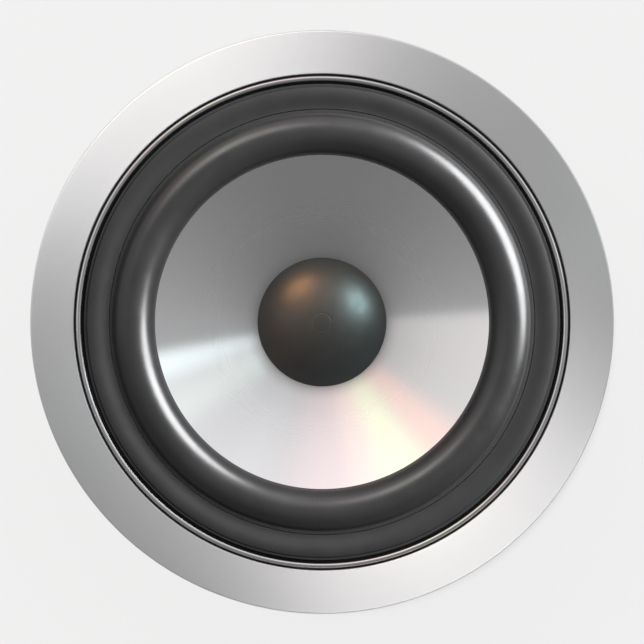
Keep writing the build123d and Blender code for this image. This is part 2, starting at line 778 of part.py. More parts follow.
def make_pieces():
    pieces = {
        "basket": make_basket(),
        "trim_ring": make_trim_ring(),
        "trim_clips": make_trim_clips(),
        "bead_ring": make_bead_ring(),
        "front_gasket": make_front_gasket(),
        "surround": make_surround(),
        "cone": make_cone(),
        "dust_cap": make_dust_cap(),
        "voice_coil_former": make_former(),
        "inner_winding": make_winding(0),
        "outer_winding": make_winding(1),
        "spider": make_spider(),
        "spider_landing_ring": make_landing_ring(),
        "top_plate": make_top_plate(),
        "front_magnet": make_magnet(0),
        "rear_magnet": make_magnet(1),
        "back_plate": make_back_plate(),
        "pole_piece": make_pole_piece(),
        "shorting_ring": make_shorting_ring(),
        "magnet_boot": make_magnet_boot(),
        "vent_mesh": make_vent_mesh(),
        "motor_bolts": make_motor_bolts(),
        "terminal_screws": make_terminal_screws(),
    }
    for side, angle in terminal_angles.items():
        turn = Rot(0, 0, angle)
        pieces[f"{side}_terminal_housing"] = turn * make_terminal_housing()
        pieces[f"{side}_terminal_contacts"] = turn * make_contacts()
        for colour, middle in button_middles.items():
            pieces[f"{side}_{colour}_button"] = turn * make_button(middle)
            pieces[f"{side}_{colour}_button_spring"] = turn * make_button_spring(middle)
            pieces[f"{side}_{colour}_tinsel_lead"] = turn * make_tinsel_lead(middle)
    return pieces


os.makedirs("parts", exist_ok=True)
for name, piece in make_pieces().items():
    export_step(piece, f"parts/{name}.step")
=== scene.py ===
import math

import bmesh
import bpy
import numpy as np
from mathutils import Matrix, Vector


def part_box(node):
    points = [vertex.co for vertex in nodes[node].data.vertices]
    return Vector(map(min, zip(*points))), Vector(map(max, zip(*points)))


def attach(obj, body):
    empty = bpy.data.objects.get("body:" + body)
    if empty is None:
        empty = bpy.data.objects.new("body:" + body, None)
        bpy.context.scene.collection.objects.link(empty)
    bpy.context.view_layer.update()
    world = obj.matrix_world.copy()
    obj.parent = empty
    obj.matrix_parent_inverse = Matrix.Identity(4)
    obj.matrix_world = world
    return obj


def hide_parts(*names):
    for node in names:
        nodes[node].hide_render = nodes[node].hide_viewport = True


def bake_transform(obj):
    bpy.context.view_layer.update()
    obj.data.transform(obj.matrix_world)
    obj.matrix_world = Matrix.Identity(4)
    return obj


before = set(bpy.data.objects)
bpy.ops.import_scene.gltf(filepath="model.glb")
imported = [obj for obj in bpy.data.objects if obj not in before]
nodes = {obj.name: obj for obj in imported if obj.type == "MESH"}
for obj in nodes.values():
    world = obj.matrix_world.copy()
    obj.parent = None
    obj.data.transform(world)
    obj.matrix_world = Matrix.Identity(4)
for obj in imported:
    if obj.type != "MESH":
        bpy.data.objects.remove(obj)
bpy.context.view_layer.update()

MM = 0.001
TURN_STEPS = 288                  # faces round a turned piece
TUBE_SIDES = 8
SHARP_ANGLE = math.radians(40)    # edges sharper than this are shaded as edges
MERGE_DISTANCE = 1e-7
SPIDER_LIP = 8.0 * MM             # flat width outside the corrugations
COLLAR_GAP = 0.01 * MM            # between a collar and the coil former inside it
LINES_PER_METRE = 7000.0          # turning lines in spun metal

# ---- Sizes of the turned pieces, in metres, as in the CAD model ---------------------------

trim_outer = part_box("trim_ring")[1].x
trim_inner = trim_outer - 23.8 * MM
trim_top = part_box("trim_ring")[1].z
trim_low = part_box("trim_ring")[0].z
trim_wall = 1.6 * MM
flange_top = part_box("bead_ring")[0].z
bead_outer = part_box("bead_ring")[1].x
bead_inner = bead_outer - 2.9 * MM
bead_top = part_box("bead_ring")[1].z
gasket_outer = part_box("front_gasket")[1].x
gasket_inner = 116.85 * MM
gasket_rise = 1.1 * MM
gasket_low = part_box("front_gasket")[0].z
lip_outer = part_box("surround")[1].x
seat_z = 3.0 * MM
lip_top = 4.2 * MM
roll_radius = 12.2 * MM
roll_wall = 1.4 * MM
roll_middle = 104.35 * MM
roll_base = 3.6 * MM
roll_foot_angle = 35.0
roll_foot_fillet = 0.6 * MM
cone_radius = 92.05 * MM
cone_edge = 4.5 * MM
cone_foot = -32.8 * MM
cone_wall = 0.9 * MM
collar_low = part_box("cone")[0].z
former_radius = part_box("voice_coil_former")[1].x
cap_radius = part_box("dust_cap")[1].x
cap_height = 15.5 * MM
cap_wall = 0.9 * MM
spider_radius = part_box("spider")[1].x
spider_z = -43.7 * MM
spider_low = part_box("spider")[0].z
cone_slope = (cone_edge - cone_foot) / (cone_radius - former_radius)


def cone_front(radius):
    return cone_edge - (cone_radius - radius) * cone_slope


# ---- Mesh helpers -------------------------------------------------------------------------

def arc(centre, radius, start, end, steps):
    """Points on an arc in the (radius, height) plane, angles in degrees from outward."""
    points = []
    for index in range(steps + 1):
        angle = math.radians(start + (end - start) * index / steps)
        points.append((centre[0] + radius * math.cos(angle), centre[1] + radius * math.sin(angle)))
    return points


def finish_mesh(name, mesh_builder):
    bmesh.ops.remove_doubles(mesh_builder, verts=mesh_builder.verts, dist=MERGE_DISTANCE)
    bmesh.ops.recalc_face_normals(mesh_builder, faces=mesh_builder.faces)
    mesh = bpy.data.meshes.new(name)
    mesh_builder.to_mesh(mesh)
    mesh_builder.free()
    mesh.shade_smooth()
    mesh.set_sharp_from_angle(angle=SHARP_ANGLE)
    piece = bpy.data.objects.new(name, mesh)
    bpy.context.scene.collection.objects.link(piece)
    return piece


def lathe(name, outline):
    """A closed outline of (radius, height) points turned about the speaker's axis."""
    builder = bmesh.new()
    rings = []
    for index in range(TURN_STEPS):
        angle = 2 * math.pi * index / TURN_STEPS
        c, s = math.cos(angle), math.sin(angle)
        rings.append([builder.verts.new((r * c, r * s, z)) for r, z in outline])
    count = len(outline)
    for index in range(TURN_STEPS):
        near, far = rings[index], rings[(index + 1) % TURN_STEPS]
        for k in range(count):
            n = (k + 1) % count
            if outline[k][0] > 1e-6 or outline[n][0] > 1e-6:
                builder.faces.new((near[k], far[k], far[n], near[n]))
    bmesh.ops.remove_doubles(builder, verts=builder.verts, dist=MERGE_DISTANCE)
    bmesh.ops.dissolve_degenerate(builder, edges=builder.edges, dist=1e-8)
    return finish_mesh(name, builder)


def tube(name, path, radius):
    """A closed tube along a list of points."""
    builder = bmesh.new()
    points = [Vector(p) for p in path]
    up = Vector((0, 0, 1))
    rings = []
    for index, point in enumerate(points):
        ahead = points[min(index + 1, len(points) - 1)]
        behind = points[max(index - 1, 0)]
        along = (ahead - behind).normalized()
        side = along.cross(up)
        if side.length < 1e-4:
            side = Vector((1, 0, 0))
        side.normalize()
        up = side.cross(along).normalized()
        ring = []
        for k in range(TUBE_SIDES):
            angle = 2 * math.pi * k / TUBE_SIDES
            outward = side * math.cos(angle) + up * math.sin(angle)
            ring.append(builder.verts.new(point + outward * radius))
        rings.append(ring)
    for near, far in zip(rings, rings[1:]):
        for k in range(TUBE_SIDES):
            n = (k + 1) % TUBE_SIDES
            builder.faces.new((near[k], near[n], far[n], far[k]))
    builder.faces.new(rings[0])
    builder.faces.new(rings[-1])
    return finish_mesh(name, builder)


def join(name, pieces):
    """One object from several meshes."""
    builder = bmesh.new()
    for piece in pieces:
        builder.from_mesh(piece.data)
        bpy.data.objects.remove(piece)
    mesh = bpy.data.meshes.new(name)
    builder.to_mesh(mesh)
    builder.free()
    mesh.shade_smooth()
    joined = bpy.data.objects.new(name, mesh)
    bpy.context.scene.collection.objects.link(joined)
    return joined


# ---- Materials ----------------------------------------------------------------------------

class Surface:
    """A Principled material with a few node shortcuts."""

    def __init__(self, name, metallic=0.0, specular=0.5, anisotropy=0.0, coat=0.0):
        self.material = bpy.data.materials.new(name)
        self.material.use_nodes = True
        self.tree = self.material.node_tree
        self.shader = self.tree.nodes["Principled BSDF"]
        self.shader.inputs["Metallic"].default_value = metallic
        self.shader.inputs["Specular IOR Level"].default_value = specular
        self.shader.inputs["Anisotropic"].default_value = anisotropy
        self.shader.inputs["Anisotropic Rotation"].default_value = 0.25
        self.shader.inputs["Coat Weight"].default_value = coat
        self.shader.inputs["Coat Roughness"].default_value = 0.1
        self.place = self.node("ShaderNodeTexCoord").outputs["Object"]

    def node(self, kind, **settings):
        made = self.tree.nodes.new(kind)
        for key, value in settings.items():
            setattr(made, key, value)
        return made

    def link(self, source, target):
        self.tree.links.new(source, target)

    def math(self, operation, first, second=None):
        made = self.node("ShaderNodeMath", operation=operation)
        for socket, value in zip(made.inputs, (first, second)):
            if isinstance(value, (int, float)):
                socket.default_value = value
            elif value is not None:
                self.link(value, socket)
        return made.outputs[0]

    def split(self):
        made = self.node("ShaderNodeSeparateXYZ")
        self.link(self.place, made.inputs[0])
        return made.outputs

    def radius(self):
        x, y, _ = self.split()
        squares = self.math("ADD", self.math("MULTIPLY", x, x), self.math("MULTIPLY", y, y))
        return self.math("SQRT", squares)

    def join(self, x, y, z):
        made = self.node("ShaderNodeCombineXYZ")
        for socket, value in zip(made.inputs, (x, y, z)):
            if isinstance(value, (int, float)):
                socket.default_value = value
            else:
                self.link(value, socket)
        return made.outputs[0]

    def noise(self, scale, detail=4.0, rough=0.55, vector=None):
        made = self.node("ShaderNodeTexNoise")
        made.inputs["Scale"].default_value = scale
        made.inputs["Detail"].default_value = detail
        made.inputs["Roughness"].default_value = rough
        self.link(vector or self.place, made.inputs["Vector"])
        return made.outputs[0]

    def cells(self, scale):
        made = self.node("ShaderNodeTexVoronoi")
        made.inputs["Scale"].default_value = scale
        self.link(self.place, made.inputs["Vector"])
        return made.outputs["Distance"]

    def spread(self, value, low, high, start=0.25, end=0.75):
        made = self.node("ShaderNodeMapRange")
        self.link(value, made.inputs["Value"])
        for socket, number in zip(list(made.inputs)[1:5], (start, end, low, high)):
            socket.default_value = number
        return made.outputs[0]

    def mix(self, factor, first, second):
        made = self.node("ShaderNodeMix", data_type="RGBA")
        self.link(factor, made.inputs["Factor"])
        for key, value in (("A", first), ("B", second)):
            socket = [s for s in made.inputs if s.name == key and s.type == "RGBA"][0]
            if isinstance(value, (tuple, list)):
                socket.default_value = (*value, 1)
            else:
                self.link(value, socket)
        return [s for s in made.outputs if s.type == "RGBA"][0]

    def colour(self, source):
        self.link(source, self.shader.inputs["Base Color"])

    def roughness(self, source):
        self.link(source, self.shader.inputs["Roughness"])

    def bump(self, height, strength, distance):
        made = self.node("ShaderNodeBump")
        made.inputs["Strength"].default_value = strength
        made.inputs["Distance"].default_value = distance
        self.link(height, made.inputs["Height"])
        if self.shader.inputs["Normal"].is_linked:
            self.link(self.shader.inputs["Normal"].links[0].from_socket, made.inputs["Normal"])
        self.link(made.outputs[0], self.shader.inputs["Normal"])

    def circular_grain(self):
        made = self.node("ShaderNodeTangent", direction_type="RADIAL", axis="Z")
        self.link(made.outputs[0], self.shader.inputs["Tangent"])


def shade(colour, factor):
    return tuple(min(1.0, channel * factor) for channel in colour)


def spun_metal(name, colour, rough, anisotropy, smoother=None):
    """Metal turned on a lathe: fine lines round the axis.

    smoother is (radius, radius, drop): roughness falls by drop from the first to the second.
    """
    s = Surface(name, metallic=1.0, anisotropy=anisotropy)
    x, y, _ = s.split()
    drift = 9.0
    across = s.math("MULTIPLY", s.radius(), LINES_PER_METRE)
    lines = s.noise(1.0, 3.0, 0.7, s.join(across, s.math("MULTIPLY", x, drift),
                                          s.math("MULTIPLY", y, drift)))
    cloud = s.noise(22.0, 3.0)
    both = s.math("ADD", s.math("MULTIPLY", lines, 0.7), s.math("MULTIPLY", cloud, 0.3))
    share = s.spread(both, 0.0, 1.0, 0.35, 0.65)
    s.colour(s.mix(share, shade(colour, 0.97), shade(colour, 1.02)))
    texture = s.spread(both, rough - 0.015, rough + 0.02, 0.35, 0.65)
    if smoother:
        start, end, drop = smoother
        texture = s.math("SUBTRACT", texture, s.spread(s.radius(), 0.0, drop, start, end))
    s.roughness(texture)
    s.bump(lines, 0.1, 0.004 * MM)
    s.circular_grain()
    return s.material


def rubber(name, colour, rough, grain=2600.0, strength=0.25, specular=0.5, painted_crease_shade=None):
    """Moulded rubber: fine grain and a little dusty variation.

    The last argument is (radius, radius): from the first to the second the rubber turns dull and
    its colour darkens as painted shade in the valley.
    """
    s = Surface(name, specular=specular)
    cloud = s.noise(35.0, 5.0)
    fine = s.noise(grain, 3.0)
    tone = s.mix(s.spread(cloud, 0.0, 1.0), shade(colour, 0.85), shade(colour, 1.2))
    texture = s.spread(s.noise(90.0, 4.0), rough - 0.04, rough + 0.06)
    if painted_crease_shade:
        # Painted shade: the colour darkens to 0.3 of itself across the valley band, and the
        # roughness rises there.
        depth = s.spread(s.radius(), 0.0, 1.0, *painted_crease_shade)
        tone = s.mix(depth, tone, shade(colour, 0.3))
        texture = s.math("ADD", texture, s.math("MULTIPLY", depth, 0.6))
    s.colour(tone)
    s.roughness(texture)
    s.bump(fine, strength, 0.04 * MM)
    return s.material


def moulded(name, colour, rough, specular=0.5, grain=1800.0, strength=0.15):
    """Moulded plastic: faint clouding and a fine mould grain."""
    s = Surface(name, specular=specular)
    cloud = s.noise(60.0, 4.0)
    s.colour(s.mix(s.spread(cloud, 0.0, 1.0), shade(colour, 0.9), shade(colour, 1.1)))
    s.roughness(s.spread(s.noise(240.0, 4.0), rough - 0.05, rough + 0.05))
    s.bump(s.noise(grain, 2.0), strength, 0.03 * MM)
    return s.material


def powder_coat(name, colour, rough):
    """Cast metal under a sprayed coat: a fine orange-peel surface over casting waviness."""
    s = Surface(name, specular=0.5)
    cloud = s.noise(28.0, 4.0)
    s.colour(s.mix(s.spread(cloud, 0.0, 1.0), shade(colour, 0.85), shade(colour, 1.15)))
    s.roughness(s.spread(s.noise(400.0, 3.0), rough - 0.08, rough + 0.08))
    s.bump(s.cells(1400.0), 0.25, 0.05 * MM)
    s.bump(s.noise(120.0, 3.0), 0.15, 0.1 * MM)
    return s.material


def plain_metal(name, colour, rough, speckle=500.0):
    """Plated or blackened metal with a fine speckle."""
    s = Surface(name, metallic=1.0)
    grain = s.noise(speckle, 4.0)
    cloud = s.noise(40.0, 4.0)
    s.colour(s.mix(s.spread(cloud, 0.0, 1.0), shade(colour, 0.85), shade(colour, 1.12)))
    s.roughness(s.spread(grain, rough - 0.07, rough + 0.09))
    s.bump(grain, 0.12, 0.04 * MM)
    return s.material


def ferrite(name, colour):
    """Ground ceramic magnet: dull dark grey with pits."""
    s = Surface(name, specular=0.4)
    pits = s.cells(320.0)
    mottled = s.noise(220.0, 6.0)
    s.colour(s.mix(s.spread(mottled, 0.0, 1.0), shade(colour, 0.75), shade(colour, 1.35)))
    s.roughness(s.spread(s.noise(150.0, 4.0), 0.45, 0.7))
    s.bump(pits, 0.2, 0.1 * MM)
    return s.material


def wound_wire(name, colour, pitch):
    """Enamelled wire wound side by side up the former."""
    s = Surface(name, metallic=0.9, coat=0.4)
    _, _, z = s.split()
    wave = s.math("ABSOLUTE", s.math("SINE", s.math("MULTIPLY", z, math.pi / pitch)))
    # Painted shade: the colour falls to 0.45 of itself between neighbouring turns, in the grooves
    # between the wires.
    s.colour(s.mix(s.spread(wave, 0.0, 1.0, 0.0, 0.9), shade(colour, 0.45), colour))
    s.roughness(s.spread(s.noise(300.0), 0.25, 0.4))
    s.bump(wave, 0.7, pitch / 3)
    return s.material


def resin_cloth(name, colour, thread):
    """Open woven cotton stiffened with resin."""
    s = Surface(name, specular=0.3)
    x, y, _ = s.split()
    warp = s.math("SINE", s.math("MULTIPLY", x, 2 * math.pi / thread))
    weft = s.math("SINE", s.math("MULTIPLY", y, 2 * math.pi / thread))
    weave = s.math("MULTIPLY", warp, weft)
    mottled = s.noise(70.0, 5.0)
    first = s.mix(s.spread(mottled, 0.0, 1.0), shade(colour, 0.7), shade(colour, 1.15))
    s.colour(s.mix(s.spread(weave, 0.0, 0.55, -1.0, 0.2), first, shade(colour, 0.4)))
    s.roughness(s.spread(mottled, 0.55, 0.75))
    s.bump(weave, 0.6, 0.2 * MM)
    return s.material


# ---- Lights, camera and floor -------------------------------------------------------------

def aim(thing, target):
    thing.rotation_euler = (Vector(target) - thing.location).to_track_quat("-Z", "Y").to_euler()


def soft_light(name, azimuth, zenith, distance, size, radiance, colour):
    """Oblong area light, azimuth from +X towards +Y, zenith from straight up."""
    data = bpy.data.lights.new(name, "AREA")
    data.shape = "ELLIPSE"
    data.size, data.size_y = size
    data.energy = radiance * math.pi * (math.pi / 4) * size[0] * size[1]
    data.color = colour
    lamp = bpy.data.objects.new(name, data)
    bpy.context.scene.collection.objects.link(lamp)
    a, z = math.radians(azimuth), math.radians(zenith)
    lamp.location = (distance * math.sin(z) * math.cos(a), distance * math.sin(z) * math.sin(a),
                     distance * math.cos(z))
    aim(lamp, (0, 0, 0))
    return lamp


def only_on(lamp, objects):
    group = bpy.data.collections.new(lamp.name + "_receivers")
    for thing in objects:
        group.objects.link(thing)
    lamp.light_linking.receiver_collection = group


def make_camera():
    """Straight down on the front, with a long lens, the trim ring filling nine tenths."""
    distance = 3.0
    half_view = 0.17645
    data = bpy.data.cameras.new("camera")
    data.sensor_width = 36
    data.lens = data.sensor_width / 2 * (distance - trim_top) / half_view
    data.clip_end = 100
    camera = bpy.data.objects.new("camera", data)
    camera.location = (0, 0, distance)
    bpy.context.scene.collection.objects.link(camera)
    bpy.context.scene.camera = camera


def make_floor():
    """Pale floor that glows a little, so its tone stays even under the speaker's edge."""
    builder = bmesh.new()
    bmesh.ops.create_grid(builder, x_segments=8, y_segments=8, size=40)
    mesh = bpy.data.meshes.new("floor")
    builder.to_mesh(mesh)
    builder.free()
    floor = bpy.data.objects.new("floor", mesh)
    floor.location.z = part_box("back_plate")[0].z - 0.2 * MM
    bpy.context.scene.collection.objects.link(floor)
    s = Surface("floor_paint", specular=0.0)
    s.shader.inputs["Base Color"].default_value = (0.15, 0.15, 0.15, 1)
    s.shader.inputs["Roughness"].default_value = 0.9
    s.shader.inputs["Emission Color"].default_value = (1, 1, 1, 1)
    s.shader.inputs["Emission Strength"].default_value = 0.60
    floor.data.materials.append(s.material)
    return floor


def overhead_sun(floor):
    """Nearly straight down, on the floor alone, for the soft shadow beside the speaker."""
    data = bpy.data.lights.new("overhead_sun", "SUN")
    data.angle = math.radians(3.5)
    data.energy = 4.2
    lamp = bpy.data.objects.new("overhead_sun", data)
    bpy.context.scene.collection.objects.link(lamp)
    lamp.location = (-0.04, 0.04, 1.0)
    aim(lamp, (0, 0, 0))
    only_on(lamp, [floor])


# Bearings in the world run from +Y towards -X, in degrees. The bright wall fades in and out over
# these, and each soft panel on it has an azimuth from +X towards +Y, a half width and a light.
WALL_START, WALL_END = (-81.5, -78), (96, 91)
HORIZON_FADE, ZENITH_FADE = (0.06, 0.22), (0.95, 0.8)
panels = (
    (15, 9, (0.36, 0.50, 0.50)),
    (31, 12, (0.14, 0.19, 0.14)),
    (64, 18, (0.08, 0.07, 0.07)),
    (93, 27, (0.33, 0.15, 0.15)),
    (107, 13, (0.42, 0.25, 0.17)),
    (120, 14, (0.58, 0.64, 0.25)),
    (135, 13, (0.50, 0.14, 0.05)),
)


def make_world():
    """Bright wall on the +Y side with soft panels, dim on the other, even for the camera."""
    world = bpy.data.worlds.new("studio")
    bpy.context.scene.world = world
    world.use_nodes = True
    tree = world.node_tree
    tree.nodes.clear()

    def node(kind, **inputs):
        made = tree.nodes.new(kind)
        for key, value in inputs.items():
            socket = made.inputs[key.replace("_", " ")]
            if isinstance(value, bpy.types.NodeSocket):
                tree.links.new(value, socket)
            else:
                socket.default_value = value
        return made

    def step(value, low, high):
        made = node("ShaderNodeMapRange", Value=value, From_Min=low, From_Max=high)
        made.interpolation_type = "SMOOTHSTEP"
        return made.outputs[0]

    def arithmetic(operation, first, second):
        made = tree.nodes.new("ShaderNodeMath")
        made.operation = operation
        for socket, value in zip(made.inputs, (first, second)):
            if isinstance(value, bpy.types.NodeSocket):
                tree.links.new(value, socket)
            else:
                socket.default_value = value
        return made.outputs[0]

    def blend(kind, factor, first, second):
        made = tree.nodes.new("ShaderNodeMix")
        made.data_type = "RGBA"
        made.blend_type = kind
        sockets = (made.inputs[0], made.inputs[6], made.inputs[7])    # factor, colour A, colour B
        for socket, value in zip(sockets, (factor, first, second)):
            if isinstance(value, bpy.types.NodeSocket):
                tree.links.new(value, socket)
            else:
                socket.default_value = value
        return made.outputs[2]

    place = tree.nodes.new("ShaderNodeTexCoord").outputs["Generated"]
    x, y, z = node("ShaderNodeSeparateXYZ", Vector=place).outputs
    turn = arithmetic("ARCTAN2", arithmetic("MULTIPLY", x, -1), y)
    bearing = arithmetic("MULTIPLY", turn, 180 / math.pi)
    turned_away = arithmetic("SUBTRACT", 180, arithmetic("ABSOLUTE", bearing, 0))
    quarter_turns = arithmetic("MINIMUM", arithmetic("DIVIDE", turned_away, 90), 1)
    depth = arithmetic("POWER", quarter_turns, 2.2)
    dim = blend("MIX", depth, (0.195, 0.195, 0.198, 1), (0.46, 0.46, 0.465, 1))
    bright = blend("MIX", step(bearing, 10, 80), (0.93, 0.93, 0.945, 1), (0.90, 0.87, 0.86, 1))
    side = arithmetic("MULTIPLY", step(bearing, *WALL_START), step(bearing, *WALL_END))
    wall = blend("MIX", side, dim, bright)
    lit = arithmetic("MULTIPLY", step(z, *HORIZON_FADE), step(z, *ZENITH_FADE))
    for centre, half_width, light in panels:
        offset = arithmetic("ABSOLUTE", arithmetic("SUBTRACT", bearing, centre - 90), 0)
        strength = arithmetic("MULTIPLY", step(offset, half_width, 0), side)
        wall = blend("ADD", strength, wall, (*light, 1))
    tint = blend("MIX", lit, (0.33, 0.33, 0.33, 1), wall)
    light = node("ShaderNodeBackground", Color=tint)
    seen = node("ShaderNodeBackground", Color=(0.863, 0.863, 0.863, 1))
    camera_ray = tree.nodes.new("ShaderNodeLightPath").outputs["Is Camera Ray"]
    choose = node("ShaderNodeMixShader", Fac=camera_ray)
    tree.links.new(light.outputs[0], choose.inputs[1])
    tree.links.new(seen.outputs[0], choose.inputs[2])
    node("ShaderNodeOutputWorld", Surface=choose.outputs[0])


# ---- Turned pieces of the front -----------------------------------------------------------

def make_trim_ring():
    under = trim_top - trim_wall
    edge, lip = 1.0 * MM, 0.4 * MM
    inner_edge = 0.6 * MM
    points = [(trim_inner, flange_top)]
    points += arc((trim_inner + inner_edge, trim_top - inner_edge), inner_edge, 180, 90, 5)
    points += arc((trim_outer - edge, trim_top - edge), edge, 90, 0, 12)
    points += arc((trim_outer - lip, trim_low + lip), lip, 0, -90, 3)
    points += [(trim_outer - trim_wall, trim_low), (trim_outer - trim_wall, under),
               (trim_inner + trim_wall, under), (trim_inner + trim_wall, flange_top)]
    return lathe("brushed_trim_ring", points)


def make_bead_ring():
    half = (bead_outer - bead_inner) / 2
    middle = (bead_outer + bead_inner) / 2
    points = [(bead_outer, flange_top)]
    points += arc((middle, bead_top - half), half, 0, 180, 18)
    points += [(bead_inner, flange_top)]
    return lathe("polished_bead", points)


def make_gasket():
    """Rubber ring that rises from the surround's edge to a crest, with a fine rim outside."""
    crest = gasket_outer - 5.2 * MM
    crest_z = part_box("front_gasket")[1].z
    inner_z = crest_z - gasket_rise
    arch_radius = 13.0 * MM
    shoulder = gasket_outer - 1.9 * MM
    rim_start = shoulder + 0.35 * MM
    rim_z = crest_z - 1.15 * MM
    edge, inner_edge = 0.4 * MM, 0.1 * MM
    rise_steps = 24
    points = [(gasket_inner, gasket_low), (gasket_outer, gasket_low)]
    points += arc((gasket_outer - edge, rim_z - edge), edge, 0, 90, 4)
    points += [(rim_start, rim_z)]
    shoulder_angle = math.degrees(math.acos((shoulder - crest) / arch_radius))
    points += arc((crest, crest_z - arch_radius), arch_radius, shoulder_angle, 90, 14)
    for step in range(1, rise_steps + 1):
        share = step / rise_steps
        points.append((crest + (gasket_inner + inner_edge - crest) * share,
                       crest_z - gasket_rise * (1 - math.cos(math.pi * share)) / 2))
    inner_centre = (gasket_inner + inner_edge, inner_z - inner_edge)
    points += arc(inner_centre, inner_edge, 90, 180, 3)[1:]
    return lathe("rubber_gasket", points)


def make_surround():
    """Half roll with a thick flared outer edge, a flat seat and an inner lip behind the cone."""
    inside = roll_radius - roll_wall
    outside = roll_middle + roll_radius
    slant = math.sqrt(1 + cone_slope ** 2)
    lip_in = cone_radius - 8.0 * MM
    lip_thickness = 1.2 * MM
    lip_front = cone_front(lip_in) - cone_wall * slant
    reach = roll_radius + roll_foot_fillet
    foot = math.radians(roll_foot_angle)
    flare = (roll_middle + reach * math.cos(foot), roll_base + reach * math.sin(foot))
    corner = 0.1 * MM
    edge_z = flare[1] - roll_foot_fillet
    points = [(lip_outer, seat_z), (lip_outer, lip_top), (outside, lip_top)]
    points += arc((outside - corner, edge_z - corner), corner, 0, 90, 3)
    points += arc(flare, roll_foot_fillet, 270, 180 + roll_foot_angle, 6)
    points += arc((roll_middle, roll_base), roll_radius, roll_foot_angle, 180, 56)[1:]
    points += [(cone_radius, cone_edge - cone_wall * slant), (lip_in, lip_front),
               (lip_in, lip_front - lip_thickness * slant),
               (roll_middle - inside, roll_base - lip_thickness)]
    points += arc((roll_middle, roll_base), inside, 180, 3, 40)
    points += [(roll_middle + inside, seat_z)]
    return lathe("rubber_roll_surround", points)


def make_cone():
    drop = cone_wall * math.sqrt(1 + cone_slope ** 2)
    collar = former_radius + cone_wall
    inner = former_radius + COLLAR_GAP
    edge_face, edge_chamfer = 0.25 * MM, 0.3 * MM
    slope_steps = 24
    points = [(cone_radius, cone_edge - drop), (cone_radius, cone_edge - edge_face),
              (cone_radius - edge_chamfer, cone_front(cone_radius - edge_chamfer))]
    for step in range(1, slope_steps):
        radius = cone_radius + (inner - cone_radius) * step / slope_steps
        points.append((radius, cone_front(radius)))
    points += [(inner, cone_foot), (inner, collar_low), (collar, collar_low),
               (collar, cone_front(collar) - drop)]
    return lathe("spun_cone", points)


def make_dust_cap():
    """Dome on the cone with a fine ring pressed round its middle."""
    edge_z = cone_front(cap_radius)
    sphere = (cap_radius ** 2 + cap_height ** 2) / (2 * cap_height)
    centre_z = edge_z + cap_height - sphere
    edge_angle = math.degrees(math.acos(cap_radius / sphere))
    mark, mark_half, mark_depth = 5.1 * MM, 0.35 * MM, 0.07 * MM
    groove = ((1.4, 0), (1.0, 0.1), (0.6, 0.8), (0, 1), (-0.6, 0.8), (-1.0, 0.1), (-1.4, 0))
    points = []
    for radius, z in arc((0, centre_z), sphere, edge_angle, 90, 60):
        if abs(radius - mark) > 2.2 * mark_half:
            points.append((radius, z))
        elif not any(abs(r - mark) < 1e-9 for r, _ in points):
            for offset, share in groove:
                r = mark + offset * mark_half
                surface_z = centre_z + math.sqrt(sphere ** 2 - r ** 2)
                points.append((r, surface_z - mark_depth * share))
    points[-1] = (0.0, centre_z + sphere)
    inner_radius = cap_radius - 1.4 * cap_wall
    inner_height = cap_height - cap_wall - (cone_front(inner_radius) - edge_z)
    inner_sphere = (inner_radius ** 2 + inner_height ** 2) / (2 * inner_height)
    inner_centre = edge_z + cap_height - cap_wall - inner_sphere
    inner_angle = math.degrees(math.acos(inner_radius / inner_sphere))
    inner = arc((0, inner_centre), inner_sphere, 90, inner_angle, 24)
    inner[0] = (0.0, inner_centre + inner_sphere)
    return lathe("dust_cap_dome", points + inner)


def make_spider():
    """Corrugated cloth disc with a collar on the former and a flat lip outside."""
    half = 0.5 * MM
    inner = former_radius + COLLAR_GAP
    collar = former_radius + 0.9 * MM
    collar_top = spider_low + 5.0 * MM
    start, end = collar + 4.0 * MM, spider_radius - SPIDER_LIP
    waves, height = 8, 2.6 * MM
    steps = waves * 10
    line = []
    for step in range(steps + 1):
        t = step / steps
        line.append((start + (end - start) * t, -height * math.sin(math.pi * waves * t)))
    top = [(r, spider_z + half + dz) for r, dz in line]
    low = [(r, spider_z - half + dz) for r, dz in reversed(line)]
    points = [(inner, collar_top), (collar, collar_top), (collar, spider_z + half)]
    points += top
    points += [(spider_radius, spider_z + half), (spider_radius, spider_z - half)]
    points += low
    points += [(collar, spider_z - half), (collar, spider_low), (inner, spider_low)]
    return lathe("corrugated_spider", points)


def blend_round(piece, fixed_radius, moving_radius):
    """Bakes the transform and works out weights by radius, 0 at the first radius and 1 at the
    second; the weights are not kept or used.
    """
    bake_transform(piece)
    places = np.array([v.co for v in piece.data.vertices], float)
    radius = np.hypot(places[:, 0], places[:, 1])
    weight = np.clip((fixed_radius - radius) / (fixed_radius - moving_radius), 0, 1)
    weight = weight * weight * (3 - 2 * weight) * 0.5 + weight * 0.5


# ---- Leads and springs --------------------------------------------------------------------

side_signs = {"right": 1, "left": -1}
lead_start_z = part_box("right_terminal_contacts")[1].z - 1.6 * MM


